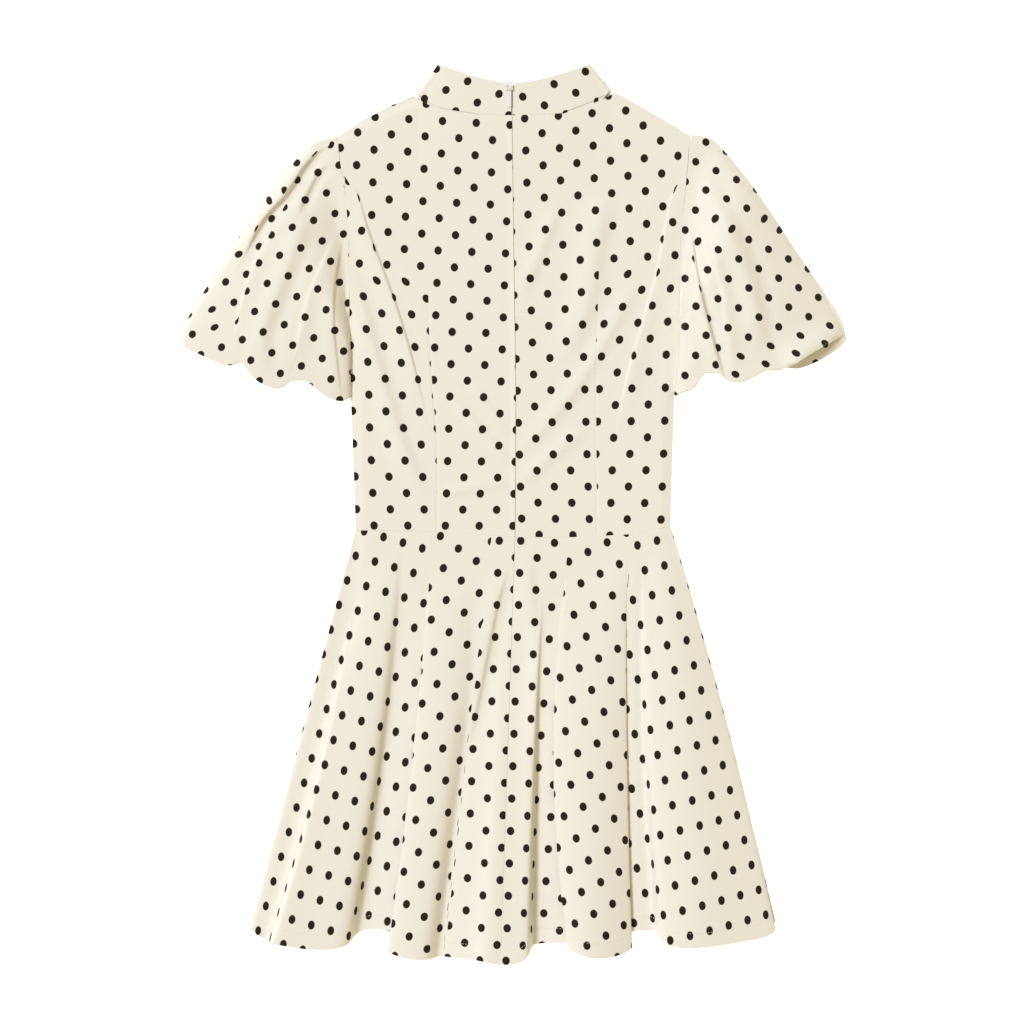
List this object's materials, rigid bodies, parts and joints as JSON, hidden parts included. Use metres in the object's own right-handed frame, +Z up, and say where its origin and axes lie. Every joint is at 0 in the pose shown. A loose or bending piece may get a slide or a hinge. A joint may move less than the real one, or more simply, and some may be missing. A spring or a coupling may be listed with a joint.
{
  "type": "short dress with puff sleeves, laid flat",
  "caption": "Short fit-and-flare dress with a stand collar, puff sleeves and a back zip, laid flat with its back up.",
  "frame": {"origin": "on the surface the dress lies on, under the middle of its bounding box", "axes": "+X towards the sleeve on the right as the dress lies back side up, +Y towards the collar, +Z up from the surface"},
  "size_m": [0.6888, 0.9318, 0.0261],
  "materials": {
    "dotted_cotton": "smooth matte mid-weight woven cotton, cream with black-brown dots",
    "zip_tape": "cream woven zip tape",
    "zip_white": "white lacquered zip metal, satin"
  },
  "bodies": {
    "dress": {"back_bodice_left": "dotted_cotton", "back_bodice_right": "dotted_cotton", "front_bodice": "dotted_cotton", "collar": "dotted_cotton", "sleeve_left": "dotted_cotton", "sleeve_right": "dotted_cotton", "skirt_back_left": "dotted_cotton", "skirt_back_right": "dotted_cotton", "skirt_front": "dotted_cotton", "zip_tape": "zip_tape", "zip_slider": "zip_white"},
    "pull": {"zip_pull": "zip_white"}
  },
  "joints": [
    {"name": "pull_hinge", "type": "hinge", "parent": "dress", "child": "pull", "pos_m": [-0.0048, 0.44, 0.011], "axis": [-1, 0, 0], "range_deg": [0, 170]}
  ]
}
